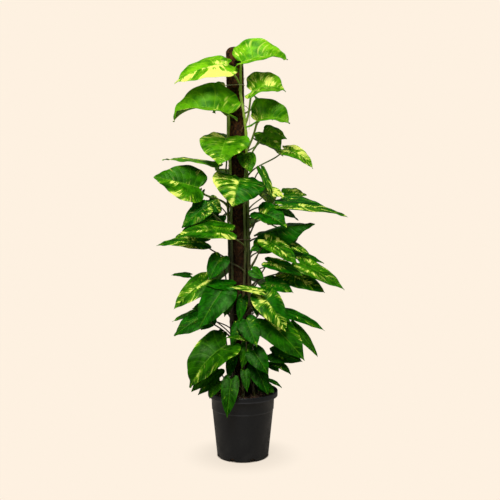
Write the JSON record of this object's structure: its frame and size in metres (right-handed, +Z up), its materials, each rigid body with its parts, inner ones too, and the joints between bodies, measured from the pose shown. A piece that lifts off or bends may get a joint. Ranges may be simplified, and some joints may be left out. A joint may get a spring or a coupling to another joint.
{
  "type": "golden pothos on a coir pole in a nursery pot",
  "caption": "Leafy golden pothos whose stems climb a coir pole, with yellow-marbled heart-shaped leaves, in a plain black nursery pot.",
  "frame": {"origin": "middle of the pot's underside", "axes": "+Z up, along the pole; the plant's front, which most leaves face, looks along -Y"},
  "size_m": [0.5092, 0.3274, 1.1196],
  "materials": {
    "pot_plastic": "satin",
    "potting_mix": "matte",
    "stake_wood": "matte",
    "coir": "matte",
    "foliage": "satin",
    "twine": "matte"
  },
  "bodies": {
    "root": {"pot": "pot_plastic", "soil": "potting_mix", "pole_core": "stake_wood", "coir_sleeve": "coir", "vine_1": "foliage", "vine_2": "foliage", "vine_3": "foliage", "vine_4": "foliage", "vine_5": "foliage", "vine_6": "foliage", "vine_7": "foliage", "vine_8": "foliage", "tie_top": "twine", "tie_middle": "twine", "tie_low": "twine"}
  },
  "joints": []
}
